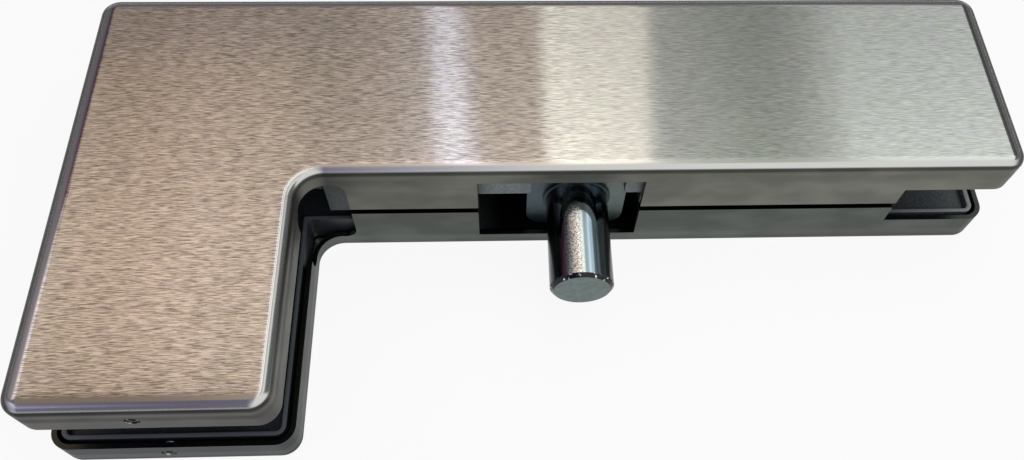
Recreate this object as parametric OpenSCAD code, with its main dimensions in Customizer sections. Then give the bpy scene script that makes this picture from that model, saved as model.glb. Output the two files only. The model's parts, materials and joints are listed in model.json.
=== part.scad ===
// Corner patch fitting for frameless glass: an L-shaped clamp that joins an overpanel and a side panel
// and carries the pivot pin of the door leaf below. Two cast bodies with moulded liners clamp the glass,
// and pressed steel covers hide them. All sizes are in millimetres.
//
// The part lies on its rear cover: +Z goes through the glass to the front cover, +X runs along the arm
// towards its free end, and the leg and the pin point to -Y. The origin is below the middle of the whole
// outline. Inside place() x is measured from the arm's left end, y from its far edge and z from the rear
// cover's face.

/* [Fitting] */
// Length of the arm, end to end
arm_l = 222; // [210:1:260]
// Length of the leg, from the arm's far edge to the leg's end
leg_l = 108; // [100:1:140]
// Width of the arm
arm_w = 53; // [50:0.5:60]
// Width of the leg
leg_w = 53; // [50:0.5:60]
// Thickness over both covers
fitting_t = 34; // [32:0.5:40]
// Clear gap between the sealing lips, which the glass fills
glass_gap = 14; // [12:0.5:16]

/* [Covers] */
// Sheet thickness of the covers
sheet = 1.2; // [0.8:0.1:1.5]
// Round along the edge of a cover's face
edge_r = 2.2; // [1.6:0.1:3]
// Radius of the outer corners, seen from above
corner_r = 4.5; // [4:0.5:7]
// Radius of the inner corner, seen from above
inner_r = 6; // [4:0.5:8]
// Gap between the deep walls of the two covers
wall_gap = 2; // [1.5:0.25:3]
// Length of the arm's free end that has no deep wall
open_end = 26; // [16:1:36]
// Length of the relief notch along each side of the inner corner
relief_l = 9.7; // [8:0.1:12]
// Radius of the relief notch's top corners
relief_r = 3; // [2:0.5:4]
// Height of wall left above the relief notch and the pivot window
window_edge = 5.2; // [4.5:0.1:6]
// Gap between a cover's wall and the liner inside it
cover_gap = 1; // [0.5:0.1:1.5]
// Thickness of the foam pads between a cover and its body
pad_t = 0.6; // [0.4:0.1:1]

/* [Bodies and liners] */
// Height of the bare ledge around a body, below the liner's skirt
ledge_h = 2.6; // [2:0.1:3]
// Thickness of the liner's skirt, which ends as the sealing lip
skirt_t = 1.2; // [0.8:0.1:1.6]
// Thickness of the liner's floor
liner_t = 0.8; // [0.6:0.1:1.2]
// Height of the sealing lip above the liner's floor
lip_h = 1.7; // [1:0.1:2]
// Thickness of the front body's apron behind the deep wall
apron_t = 4; // [3:0.5:5]
// Thickness of the apron where it passes in front of the carrier
apron_thin = 1.2; // [0.8:0.1:1.5]
// Distance from the leg's inner side to the start of the apron
apron_start = 4.2; // [3:0.1:6]
// Height of the apron's free edge above the rear liner's lip
apron_lift = 4.3; // [3.5:0.1:5]
// Height of the apron's edge above the middle plane where the carrier passes behind it
apron_window = 4; // [3:0.5:5]

/* [Clamping] */
// Clamp screw diameter
screw_d = 6; // [5:1:6]
// Diameter of the posts around the clamp screws
post_d = 13; // [12:0.5:14]
// Wall of the plastic sleeves on the posts
sleeve_t = 1.2; // [0.8:0.1:1.5]
// Guide dowel diameter
dowel_d = 6; // [5:0.5:8]
// Distance from the leg's inner side to the clamp screws in the leg
leg_screw_in = 14; // [12:0.5:20]
// Distance from the leg's end to the leg's clamp screw
leg_screw_up = 18; // [16:1:26]
// Distance from the arm's near edge to the clamp screws in the arm
arm_screw_in = 17; // [15:0.5:20]
// Distance from the housing's sides to the nearest clamp screws in the arm
arm_screw_off = 16; // [12:1:24]

/* [Pivot] */
// Diameter of the pivot pin
pin_d = 15; // [12:0.5:16]
// Length of the pin beyond the arm's near wall
pin_out = 22; // [15:1:40]
// Chamfer at the pin's end
pin_chamfer = 0.9; // [0.2:0.1:1]
// Distance from the arm's left end to the pin's axis
pin_x = 117.4; // [112:0.2:130]
// Diameter of the pin's collar
collar_d = 16.4; // [16.2:0.1:17.5]
// Thickness of the pin's collar
collar_t = 0.8; // [0.5:0.1:1]
// Diameter of the pin's shank in the carrier
shank_d = 12; // [10:0.5:12]
// Travel of the carrier each way from the middle
travel = 2.8; // [1.5:0.1:3]
// Free width of the pivot window to the left of the pin's axis
window_left = 24; // [20:0.5:30]
// Free width of the pivot window to the right of the pin's axis
window_right = 15.4; // [15.4:0.1:18]
// Width of the carrier
carrier_w = 24.2; // [20:0.2:24.4]
// Depth of the carrier's block behind its face
carrier_t = 12; // [10:0.5:14]
// Radius of the carrier's corners
carrier_r = 4.6; // [2:0.2:5]
// Length of the slotted tongue behind the carrier's block
tongue_l = 10; // [10:0.5:12]
// Thickness of the slotted tongue
tongue_t = 4; // [3:0.5:5]
// Diameter of the set screw that holds the pin
set_screw_d = 4; // [3:0.5:5]
// Locking screw diameter
lock_d = 5; // [4:0.5:5]

/* [Inner details] */
// Thickness of the housing's back wall
housing_t = 2.4; // [2:0.2:3]
// Thickness of the housing's side walls
housing_side = 5; // [4:0.5:7]
// Height of the carrier above the middle plane
carrier_up = 10; // [9:0.5:10]
// Height of the land under the tongue, above the pocket's floor
land_h = 4.3; // [4:0.1:5]
// Thickness of the plastic blocks that the overpanel's edge stands on
edge_block_t = 2; // [1.5:0.5:3]
// Length of the plastic edge blocks
edge_block_l = 16; // [10:1:18]
// Length of the threaded inserts
insert_l = 10; // [8:0.5:10]
// Distance from the arm's dowel to its far clamp screw
arm_screw_far = 19.2; // [17:0.1:24]
// Distance from the leg's screws to its dowel, across the leg
dowel_off = 4; // [2:0.5:5]
// Distance from the leg's inner screw to its dowel, along the leg
dowel_step = 14; // [13:0.5:18]
// Distance from the apron's end to the arm's dowel
dowel_end = 10; // [8:0.5:12]
// Wall around the dowels
dowel_wall = 2.5; // [2:0.5:3]
// Height of the rear dowel bosses above the liner's floor
boss_up = 4; // [2:0.5:5]
// Height of the front dowel bosses above the deck
boss_down = 7.5; // [6:0.5:8]
// Thickness of the locking screw's washer
washer_t = 1; // [0.8:0.1:1.2]
// Length of the foam pads
pad_l = 20; // [10:1:24]
// Width of the foam pads
pad_w = 12; // [8:1:14]

/* [Cover screws] */
// Diameter of the cover screws
cover_screw_d = 3; // [2.5:0.5:3]
// Length of the cover screws
cover_screw_l = 8; // [6:1:10]
// Distance from a cover's face to its cover screws
cover_screw_z = 5.7; // [5.5:0.1:6]
// Distance from the leg's left side to the leg's cover screw
cover_screw_x = 24.7; // [20:0.1:32]

/* [Clearances] */
// Radial gap of round pieces held in a body
hold_gap = 0.05; // [0.02:0.01:0.1]
// Radial gap of round pieces that slide in a body
slide_gap = 0.08; // [0.03:0.01:0.1]
// Gap between flat faces that pass each other
pass_gap = 0.3; // [0.2:0.05:0.5]
// Radial gap around a screw's shank
screw_gap = 0.3; // [0.2:0.05:0.5]

/* [Hidden] */
$fn = 64;
eps = 0.01;
past = 1;                                       // how far a cut runs past the face it opens

// Insets from the outer faces of the walls
body_in = sheet + cover_gap;                    // the ledge and the liner's skirt
deck_in = body_in + skirt_t;                    // the deck inside the skirt

// Heights of the rear half, which the front half mirrors
mid_z = fitting_t / 2;
wall_z = (fitting_t - glass_gap) / 2;           // edge of the shallow walls, and the lip's top
deep_z = mid_z - wall_gap / 2;                  // edge of the deep wall, and the posts' ends
take_up = wall_gap - pass_gap;                  // how far the halves close on the glass
back_z = sheet + pad_t;                         // outer face of a body
ledge_z = back_z + ledge_h;                     // top of the ledge, and the pocket's floor
floor_z = wall_z - lip_h;                       // the liner's floor
deck_z = floor_z - liner_t;                     // the body's deck under the liner
apron_z = wall_z + apron_lift;                  // free edge of the apron
apron_window_z = mid_z + apron_window;          // the same in front of the carrier

// The carrier and the pocket that it slides in
window_x = [pin_x - window_left, pin_x + window_right];
apron_y = -arm_w + body_in;                     // outer face of the apron
apron_back = apron_y + apron_t;
apron_end = arm_l - open_end - 1;
face_y = apron_y + apron_thin + pass_gap;       // front face of the carrier
block_y = face_y + carrier_t;                   // back of the carrier's block
tongue_y = block_y + tongue_l;                  // back of the tongue
pocket_y = tongue_y + pass_gap;                 // back of the pocket
housing_y = pocket_y + housing_t;               // back of the housing
housing_x = [window_x[0] - housing_side, window_x[1] + housing_side];
carrier_z = [ledge_z + slide_gap, mid_z + carrier_up];
ceiling_z = carrier_z[1] + take_up + pass_gap;  // roof of the pocket, in the front body
land_z = ledge_z + land_h;                      // land that the tongue lies on
tongue_z = land_z + slide_gap;
lock_y = (block_y + tongue_y) / 2;
slot_w = lock_d + 2 * screw_gap;
notch_half = collar_d / 2 + travel + pass_gap;  // half the apron's notch for the collar

// Centres of the clamp screws and the dowels
leg_screw_x = leg_w - leg_screw_in;
arm_screw_y = -arm_w + arm_screw_in;
dowel_at = [[leg_screw_x + dowel_off, arm_screw_y - dowel_step], [apron_end - dowel_end, arm_screw_y]];
screw_at = [[leg_screw_x, arm_screw_y], [leg_screw_x, -leg_l + leg_screw_up],
            [housing_x[0] - arm_screw_off, arm_screw_y], [dowel_at[1][0] - arm_screw_far, arm_screw_y]];

// Clamp screws, inserts and dowels
head_d = 2 * screw_d;
head_h = screw_d / 2;
screw_tip = 1.2;                                // from a screw's tip to the insert's lower end
screw_l = fitting_t - back_z - (deep_z - insert_l) - screw_tip;
insert_d = screw_d + 3;
boss_d = dowel_d + 2 * dowel_wall;
dowel_z = [back_z + 1, fitting_t - deck_z - take_up - pass_gap];
rear_boss_z = floor_z + boss_up;
edge_block_up = wall_gap + edge_block_t;        // height of the edge blocks above the middle plane
front_boss_z = deck_z + boss_down;              // measured from the front cover's face

// Locking screw
lock_insert_d = lock_d + 2;
washer_d = 1.8 * lock_d;
lock_head_d = 1.7 * lock_d;
key_hole_d = lock_head_d + 2;
lock_top = tongue_z + tongue_t + washer_t;
lock_tip = back_z + past / 2;                   // lower end of the locking screw
set_screw_y = (face_y + block_y) / 2;

// Centres of the foam pads
pad_at = [[leg_w / 3, -arm_w / 4], [leg_w / 3, -leg_l * 0.7],
          [housing_x[0] - pad_w, -arm_w / 4], [arm_l - 1.5 * pad_l, -arm_w / 4]];

steel = "#b9b6ae";
cast = "#6d7073";
moulded = "#303234";
zinc = "#8f9aa3";
chrome = "#d5d8da";
black = "#1c1c1e";

// ---- Shared shapes ----

// Moves a piece from the corner it is measured from to the part's own frame.
module place() {
  translate([-arm_l / 2, leg_l / 2, 0])
    children();
}

// Turns a piece of the rear half into its mirror image in the front half.
module to_front() {
  translate([0, 0, fitting_t])
    mirror([0, 0, 1])
      children();
}

// Box from its low corner to its high corner.
module block(low, high) {
  translate(low)
    cube(high - low);
}

// Rectangle with round corners, from its low corner to its high corner.
module round_box(low, high, r) {
  translate([low[0] + r, low[1]])
    square([high[0] - low[0] - 2 * r, high[1] - low[1]]);
  translate([low[0], low[1] + r])
    square([high[0] - low[0], high[1] - low[1] - 2 * r]);
  for (x = [low[0] + r, high[0] - r], y = [low[1] + r, high[1] - r])
    translate([x, y])
      circle(r);
}

// The fitting's L outline, inset from the outer faces, with its outer and inner corner radii.
module outline(inset, outer, inner) {
  side = leg_w - inset;
  near = -arm_w + inset;
  difference() {
    union() {
      round_box([inset, near], [arm_l - inset, -inset], outer);
      round_box([inset, -leg_l + inset], [side, -inset], outer);
      translate([side - eps, near - inner])
        square([inner + eps, inner + eps]);
    }
    translate([side + inner, near - inner])
      circle(inner);
  }
}

// Block of the L outline between two heights.
module slab(inset, low, high, outer, inner) {
  translate([0, 0, low])
    linear_extrude(high - low)
      outline(inset, outer, inner);
}

// Hexagon socket of a screw, sunk from z = 0 downwards.
module hex_socket(flats, depth) {
  translate([0, 0, -depth])
    cylinder(d = flats / cos(30), h = depth + past, $fn = 6);
}

// ---- Covers ----

// Round bar along an edge between two points at the height of the edge's round.
module edge_bar(from, to, r) {
  run = to - from;
  translate([from[0], from[1], edge_r])
    rotate([0, 0, atan2(run[1], run[0])])
      rotate([0, 90, 0])
        cylinder(r = r, h = norm(run));
}

// Solid L whose lower edge is rounded all round, inset from the cover's outer faces.
module rounded_l(inset, top) {
  r = edge_r - inset;
  outer = corner_r - inset;
  inner = inner_r + inset;
  left = inset;
  right = arm_l - inset;
  far = -inset;
  near = -arm_w + inset;
  side = leg_w - inset;
  end = -leg_l + inset;
  slab(inset + r, inset, edge_r + eps, outer - r, inner + r);
  slab(inset, edge_r, top, outer, inner);
  edge_bar([left + outer, far - r], [right - outer, far - r], r);
  edge_bar([side + inner, near + r], [right - outer, near + r], r);
  edge_bar([left + r, far - outer], [left + r, end + outer], r);
  edge_bar([side - r, near - inner], [side - r, end + outer], r);
  edge_bar([right - r, far - outer], [right - r, near + outer], r);
  edge_bar([left + outer, end + r], [side - outer, end + r], r);
  for (p = [[left + outer, far - outer], [right - outer, far - outer], [right - outer, near + outer],
            [left + outer, end + outer], [side - outer, end + outer]])
    translate([p[0], p[1], edge_r])
      rotate_extrude()
        translate([outer - r, 0])
          intersection() {
            circle(r);
            translate([0, -r])
              square([r, 2 * r]);
          }
  translate([side + inner, near - inner, edge_r])
    rotate([0, 0, 90])
      rotate_extrude(angle = 90)
        translate([inner + r, 0])
          circle(r);
}

// Prism along y that reaches from x = 0 to -x and from z = 0 upwards, with its low corner rounded.
module rounded_step(r, reach, high, deep) {
  rotate([90, 0, 0])
    linear_extrude(deep) {
      translate([-reach, 0])
        square([reach - r, high]);
      translate([-reach, r])
        square([reach, high - r]);
      translate([-r, r])
        circle(r);
    }
}

// Relief notch through the walls at the inner corner.
module relief_notch() {
  reach = relief_l + sheet + past;
  intersection() {
    translate([leg_w + relief_l, -arm_w + sheet + past, window_edge])
      rounded_step(relief_r, reach, mid_z, reach);
    translate([leg_w + relief_l, -arm_w - relief_l, window_edge])
      rotate([0, 0, -90])
        rounded_step(relief_r, reach, mid_z, reach);
  }
}

// Everything above the plate and the walls that a cover leaves open.
module cover_openings() {
  translate([0, 0, wall_z])
    linear_extrude(mid_z)
      difference() {
        outline(-past, corner_r + past, inner_r - past);
        translate([leg_w + past, -arm_w - 2 * past])
          square([arm_l - open_end - leg_w - past, sheet + 2 * past + eps]);
      }
  relief_notch();
  block([window_x[0], -arm_w - past, window_edge], [window_x[1], -arm_w + sheet + past, mid_z]);
}

// The axes of the cover screws, pointing out of the leg's end and the arm's free end.
module cover_screw_axes() {
  translate([cover_screw_x, -leg_l, cover_screw_z])
    rotate([90, 0, 0])
      children();
  translate([arm_l, -arm_w / 2, cover_screw_z])
    rotate([0, 90, 0])
      children();
}

module cover_screw_holes(d) {
  cover_screw_axes()
    translate([0, 0, -cover_screw_l - past])
      cylinder(d = d, h = cover_screw_l + 2 * past);
}

module cover() {
  difference() {
    rounded_l(0, deep_z);
    rounded_l(sheet, deep_z + past);
    cover_openings();
    cover_screw_holes(cover_screw_d + 2 * screw_gap);
  }
}

module cover_screws() {
  cover_screw_axes()
    translate([0, 0, -pass_gap])
      difference() {
        translate([0, 0, -cover_screw_l])
          cylinder(d = cover_screw_d, h = cover_screw_l);
        hex_socket(cover_screw_d / 2, cover_screw_d / 2);
      }
}

module cover_pads() {
  for (p = pad_at)
    translate([p[0] - pad_l / 2, p[1] - pad_w / 2, sheet])
      cube([pad_l, pad_w, pad_t]);
}

// ---- Liners ----

// Moulded tray liner: skirt, floor and sealing lip in one.
module liner() {
  difference() {
    slab(body_in, ledge_z, wall_z, corner_r - body_in, skirt_t);
    slab(deck_in, ledge_z - past, deck_z, skirt_t, skirt_t / 2);
    slab(deck_in, floor_z, wall_z + past, skirt_t, skirt_t / 2);
    for (p = screw_at)
      translate(p)
        cylinder(d = post_d + 2 * hold_gap, h = mid_z);
    for (p = dowel_at)
      translate(p)
        cylinder(d = boss_d + 2 * hold_gap, h = mid_z);
    block([housing_x[0] - pass_gap, -arm_w, 0], [housing_x[1] + pass_gap, housing_y + pass_gap, mid_z]);
    cover_screw_holes(cover_screw_d + 2 * screw_gap);
  }
}

// Sleeves around the posts, from the liner's floor to the posts' ends.
module post_sleeves() {
  bore = post_d + 2 * hold_gap;
  for (p = screw_at)
    translate([p[0], p[1], floor_z])
      difference() {
        cylinder(d = bore + 2 * sleeve_t, h = deep_z - floor_z);
        translate([0, 0, -past])
          cylinder(d = bore, h = mid_z);
      }
}

// ---- Bodies ----

// Ledge, deck, clamp posts and dowel bosses of a body.
module body_base(boss_z) {
  slab(body_in, back_z, ledge_z, corner_r - body_in, skirt_t);
  slab(deck_in, ledge_z - eps, deck_z, skirt_t, skirt_t / 2);
  for (p = screw_at)
    translate([p[0], p[1], ledge_z])
      cylinder(d = post_d, h = deep_z - ledge_z);
  for (p = dowel_at)
    translate([p[0], p[1], ledge_z])
      cylinder(d = boss_d, h = boss_z - ledge_z);
}

// Housing around the carrier's pocket, standing on the rear body.
module housing() {
  difference() {
    block([housing_x[0], apron_back + pass_gap, ledge_z], [housing_x[1], housing_y, deep_z]);
    block([window_x[0], -arm_w, 0], [window_x[1], pocket_y, mid_z]);
  }
}

module rear_body() {
  color(cast)
    place()
      difference() {
        union() {
          difference() {
            body_base(rear_boss_z);
            block([window_x[0], -arm_w, ledge_z], [window_x[1], pocket_y, mid_z]);
          }
          housing();
          // land that the tongue is clamped on
          block([window_x[0] - eps, block_y + slide_gap, ledge_z - eps],
                [window_x[1] + eps, pocket_y + eps, land_z]);
        }
        for (p = screw_at) {
          translate([p[0], p[1], deep_z - insert_l])
            cylinder(d = insert_d + 2 * hold_gap, h = insert_l + past);
          translate([p[0], p[1], back_z + past])
            cylinder(d = screw_d + 2 * screw_gap, h = deep_z);
        }
        for (p = dowel_at)
          translate([p[0], p[1], dowel_z[0] - hold_gap])
            cylinder(d = dowel_d + 2 * hold_gap, h = mid_z);
        translate([pin_x, lock_y, back_z - past])
          cylinder(d = lock_insert_d + 2 * hold_gap, h = mid_z);
        cover_screw_holes(cover_screw_d + 2 * hold_gap);
      }
}

// Wall of the front body behind the deep walls, open in front of the carrier.
module apron() {
  start = leg_w + apron_start;
  difference() {
    block([start, apron_y, apron_z], [apron_end, apron_back, fitting_t - deck_z + eps]);
    block([window_x[0], -arm_w, 0], [window_x[1], apron_back + past, apron_window_z]);
    block([pin_x - notch_half, -arm_w, 0], [pin_x + notch_half, apron_back + past, ceiling_z]);
  }
}

module front_body() {
  color(cast)
    place()
      difference() {
        union() {
          to_front()
            body_base(front_boss_z);
          apron();
        }
        // pocket above the carrier
        block([window_x[0], apron_y + apron_thin, 0], [window_x[1], pocket_y, ceiling_z]);
        to_front() {
          for (p = screw_at)
            translate([p[0], p[1], back_z]) {
              cylinder(d1 = head_d + 2 * hold_gap, d2 = screw_d + 2 * hold_gap, h = head_h);
              translate([0, 0, -past])
                cylinder(d = screw_d + 2 * screw_gap, h = mid_z);
              translate([0, 0, -past])
                cylinder(d = head_d + 2 * hold_gap, h = past + eps);
            }
          for (p = dowel_at)
            translate([p[0], p[1], deck_z])
              cylinder(d = dowel_d + 2 * slide_gap, h = mid_z);
          // key hole over the locking screw
          translate([pin_x, lock_y, 0])
            cylinder(d = key_hole_d, h = mid_z);
          cover_screw_holes(cover_screw_d + 2 * hold_gap);
        }
      }
}

// ---- Rear half ----

module rear_cover() {
  color(steel)
    place()
      cover();
}

module rear_liner() {
  color(moulded)
    place()
      liner();
}

module rear_post_sleeves() {
  color(black)
    place()
      post_sleeves();
}

module rear_cover_pads() {
  color(black)
    place()
      cover_pads();
}

module rear_cover_screws() {
  color(zinc)
    place()
      cover_screws();
}

module clamp_inserts() {
  color(zinc)
    place()
      for (p = screw_at)
        translate([p[0], p[1], deep_z - insert_l])
          difference() {
            cylinder(d = insert_d, h = insert_l);
            translate([0, 0, -past])
              cylinder(d = screw_d + 2 * slide_gap, h = insert_l + 2 * past);
          }
}

module guide_dowels() {
  color(zinc)
    place()
      for (p = dowel_at)
        translate([p[0], p[1], dowel_z[0]])
          cylinder(d = dowel_d, h = dowel_z[1] - dowel_z[0]);
}

// Blocks behind the housing that the overpanel's edge stands on.
module edge_blocks() {
  color(black)
    place()
      for (x = [housing_x[0], housing_x[1] - edge_block_l])
        block([x, housing_y, floor_z],
              [x + edge_block_l, housing_y + edge_block_t, mid_z + edge_block_up]);
}

module lock_insert() {
  color(zinc)
    place()
      translate([pin_x, lock_y, back_z])
        difference() {
          cylinder(d = lock_insert_d, h = land_z - back_z);
          translate([0, 0, -past])
            cylinder(d = lock_d + 2 * hold_gap, h = mid_z);
        }
}

module lock_washer() {
  color(zinc)
    place()
      translate([pin_x, lock_y, tongue_z + tongue_t + slide_gap])
        difference() {
          cylinder(d = washer_d, h = washer_t - slide_gap);
          translate([0, 0, -past])
            cylinder(d = lock_d + 2 * hold_gap, h = mid_z);
        }
}

module lock_screw() {
  color(zinc)
    place()
      translate([pin_x, lock_y, lock_top])
        difference() {
          union() {
            cylinder(d = lock_head_d, h = lock_d);
            translate([0, 0, lock_tip - lock_top])
              cylinder(d = lock_d, h = lock_top - lock_tip + eps);
          }
          translate([0, 0, lock_d])
            hex_socket(0.8 * lock_d, lock_d / 2);
        }
}

// ---- Front half ----

module front_cover() {
  color(steel)
    place()
      to_front()
        cover();
}

// The front liner stops at the apron, which takes its skirt's place.
module front_liner() {
  start = leg_w + apron_start - pass_gap;
  color(moulded)
    place()
      difference() {
        to_front()
          liner();
        block([start, -arm_w, 0], [apron_end + pass_gap, apron_back + pass_gap, fitting_t]);
      }
}

module front_post_sleeves() {
  color(black)
    place()
      to_front()
        post_sleeves();
}

module front_cover_pads() {
  color(black)
    place()
      to_front()
        cover_pads();
}

module front_cover_screws() {
  color(zinc)
    place()
      to_front()
        cover_screws();
}

// Countersunk clamp screws, whose heads lie flush in the front body.
module clamp_screws() {
  color(zinc)
    place()
      for (p = screw_at)
        translate([p[0], p[1], fitting_t - back_z])
          difference() {
            union() {
              translate([0, 0, -head_h])
                cylinder(d1 = screw_d, d2 = head_d, h = head_h);
              translate([0, 0, -screw_l])
                cylinder(d = screw_d, h = screw_l - head_h + eps);
            }
            hex_socket(screw_d * 2 / 3, screw_d * 0.4);
          }
}

// ---- Pivot ----

// Block that holds the pin, with a slotted tongue for the locking screw behind it.
module pivot_carrier() {
  low = pin_x - carrier_w / 2;
  high = pin_x + carrier_w / 2;
  color(zinc)
    place()
      difference() {
        union() {
          translate([0, block_y, 0])
            rotate([90, 0, 0])
              linear_extrude(carrier_t)
                round_box([low, carrier_z[0]], [high, carrier_z[1]], carrier_r);
          block([low + carrier_r, block_y - eps, tongue_z],
                [high - carrier_r, tongue_y, tongue_z + tongue_t]);
        }
        // slot for the locking screw
        for (x = [-travel, travel])
          translate([pin_x + x, lock_y, 0])
            cylinder(d = slot_w, h = mid_z);
        block([pin_x - travel, lock_y - slot_w / 2, 0], [pin_x + travel, lock_y + slot_w / 2, mid_z]);
        // bore for the pin's shank, and the set screw's hole above it
        translate([pin_x, face_y - past, mid_z])
          rotate([-90, 0, 0])
            cylinder(d = shank_d + 2 * hold_gap, h = carrier_t);
        translate([pin_x, set_screw_y, mid_z])
          cylinder(d = set_screw_d + 2 * hold_gap, h = carrier_z[1]);
      }
}

module pivot_pin() {
  front_l = arm_w + pin_out + face_y;             // length in front of the carrier's face
  shank_l = carrier_t - past - pass_gap;          // length in the carrier's bore
  color(chrome)
    place()
      translate([pin_x, face_y, mid_z])
        rotate([90, 0, 0]) {
          cylinder(d = collar_d, h = collar_t);
          cylinder(d = pin_d, h = front_l - pin_chamfer);
          translate([0, 0, front_l - pin_chamfer])
            cylinder(d1 = pin_d, d2 = pin_d - 2 * pin_chamfer, h = pin_chamfer);
          translate([0, 0, -shank_l])
            cylinder(d = shank_d, h = shank_l + eps);
        }
}

module pin_set_screw() {
  low = mid_z + shank_d / 2 + hold_gap;
  color(zinc)
    place()
      translate([pin_x, set_screw_y, carrier_z[1] - pass_gap])
        difference() {
          translate([0, 0, low - carrier_z[1] + pass_gap])
            cylinder(d = set_screw_d, h = carrier_z[1] - pass_gap - low);
          hex_socket(set_screw_d / 2, set_screw_d / 3);
        }
}

rear_cover();
rear_body();
rear_liner();
rear_post_sleeves();
rear_cover_pads();
rear_cover_screws();
clamp_inserts();
guide_dowels();
edge_blocks();
lock_insert();
lock_screw();
lock_washer();
front_cover();
front_body();
front_liner();
front_post_sleeves();
front_cover_pads();
front_cover_screws();
clamp_screws();
pivot_carrier();
pivot_pin();
pin_set_screw();
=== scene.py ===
# %% [markdown]
# # A corner patch fitting for frameless glass
#
# This lesson dresses an L-shaped glass clamp: satin steel covers over cast bodies, black liners in the slot
# where the glass goes, and a chromed pin that a door turns on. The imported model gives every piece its
# size and place, so this script only adds what the eye sees: fine edges, rounds, threads and finishes.

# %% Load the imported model
import json
import math

import bmesh
import bpy
from mathutils import Matrix, Vector

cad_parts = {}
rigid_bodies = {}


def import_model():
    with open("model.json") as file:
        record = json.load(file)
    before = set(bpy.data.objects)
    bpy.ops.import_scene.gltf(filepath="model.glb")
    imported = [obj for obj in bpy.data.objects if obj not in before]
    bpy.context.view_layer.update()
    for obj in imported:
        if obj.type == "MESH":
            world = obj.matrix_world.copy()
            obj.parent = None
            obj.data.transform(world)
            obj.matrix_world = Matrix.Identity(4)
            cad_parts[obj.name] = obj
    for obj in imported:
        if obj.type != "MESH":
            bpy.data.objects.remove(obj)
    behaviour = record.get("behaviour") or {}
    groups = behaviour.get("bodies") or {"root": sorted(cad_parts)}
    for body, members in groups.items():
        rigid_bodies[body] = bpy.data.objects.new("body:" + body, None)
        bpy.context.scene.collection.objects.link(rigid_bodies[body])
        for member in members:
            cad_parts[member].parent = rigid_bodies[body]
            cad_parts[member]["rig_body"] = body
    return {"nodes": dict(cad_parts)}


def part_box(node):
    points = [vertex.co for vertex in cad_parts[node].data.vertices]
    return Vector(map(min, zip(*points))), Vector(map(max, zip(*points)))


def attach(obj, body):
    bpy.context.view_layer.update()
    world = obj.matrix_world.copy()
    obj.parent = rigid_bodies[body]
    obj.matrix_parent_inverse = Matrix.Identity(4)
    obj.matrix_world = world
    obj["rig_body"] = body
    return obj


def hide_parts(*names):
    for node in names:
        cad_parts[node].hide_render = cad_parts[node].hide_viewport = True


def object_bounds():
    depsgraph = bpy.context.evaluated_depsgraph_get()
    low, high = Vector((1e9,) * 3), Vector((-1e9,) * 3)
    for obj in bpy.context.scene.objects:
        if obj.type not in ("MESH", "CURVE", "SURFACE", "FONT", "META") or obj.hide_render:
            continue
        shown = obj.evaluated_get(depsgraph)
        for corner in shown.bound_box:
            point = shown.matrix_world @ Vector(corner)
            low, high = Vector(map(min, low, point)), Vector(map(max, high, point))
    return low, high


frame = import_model()
cad_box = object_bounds()
print("nodes:", len(frame["nodes"]), "size in mm:", [round(v * 1000, 1) for v in cad_box[1] - cad_box[0]])

# %% [markdown]
# ## Sizes
#
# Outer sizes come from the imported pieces. The few shared sizes that a bounding box can't tell, such as the
# sheet's thickness, are named here once, in millimetres turned to metres. A size that only one piece needs
# stands in that piece's own cell.

# %% Sizes that the pieces share
MM = 0.001
LOW, HIGH = cad_box
MIDDLE = (LOW + HIGH) / 2

ARM_WIDTH = 53 * MM
LEG_WIDTH = 53 * MM
SHEET = 1.2 * MM
EDGE_ROUND = 2.2 * MM
OUTER_CORNER = 4.5 * MM
INNER_CORNER = 6 * MM

SIDE_X = LOW.x + LEG_WIDTH
NEAR_Y = HIGH.y - ARM_WIDTH
print("leg's inner side at", round(SIDE_X / MM, 1), "mm, arm's near side at", round(NEAR_Y / MM, 1), "mm")


# %% [markdown]
# ## Modelling by hand, in code
#
# Every operator acts on what is selected. These few helpers do what a hand does between two operators:
# pick one piece, step into edit mode, and pick faces or edges by where they are.

# %% Helpers for selecting and editing
def pick_only(piece):
    bpy.ops.object.select_all(action="DESELECT")
    piece.select_set(True)
    bpy.context.view_layer.objects.active = piece


def edit(piece, kind="FACE"):
    pick_only(piece)
    bpy.ops.object.mode_set(mode="EDIT")
    bpy.ops.mesh.select_mode(type=kind)
    bpy.ops.mesh.select_all(action="DESELECT")


def leave_edit():
    bpy.ops.object.mode_set(mode="OBJECT")


def pick_parts(piece, kind, test):
    """Selects the vertices, edges or faces of a piece in edit mode for which test says yes."""
    mesh = bmesh.from_edit_mesh(piece.data)
    parts = {"VERT": mesh.verts, "EDGE": mesh.edges, "FACE": mesh.faces}[kind]
    for part in parts:
        part.select_set(bool(test(part)))
    mesh.select_flush_mode()
    bmesh.update_edit_mesh(piece.data)
    return sum(part.select for part in parts)


def settle(piece, name):
    """Names a piece and puts its place into its mesh, so that its object sits at the origin."""
    pick_only(piece)
    bpy.ops.object.transform_apply(location=True, rotation=True, scale=True)
    piece.name = name
    piece.data.name = name
    return piece


print("selecting helpers ready")

# %% [markdown]
# Most pieces end alike: sharp edges are broken, rounds are smoothed, and modifiers are applied. A bevel
# that is limited by angle finds the sharp edges by itself, so none has to be picked by hand.

# %% Helpers for finishing and cutting
TOUCH = 1e-6        # metres: closer than this, two places count as one
SHARP_ANGLE = 40    # degrees: sharper edges are broken
ROUND_ANGLE = 35    # degrees: flatter edges are shaded round
BREAK_STEPS = 2
SAME_PLANE = math.radians(0.5)


def apply_all(piece):
    pick_only(piece)
    for modifier in list(piece.modifiers):
        bpy.ops.object.modifier_apply(modifier=modifier.name)


def smooth(piece, degrees):
    pick_only(piece)
    bpy.ops.object.shade_smooth_by_angle(angle=math.radians(degrees))


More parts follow.
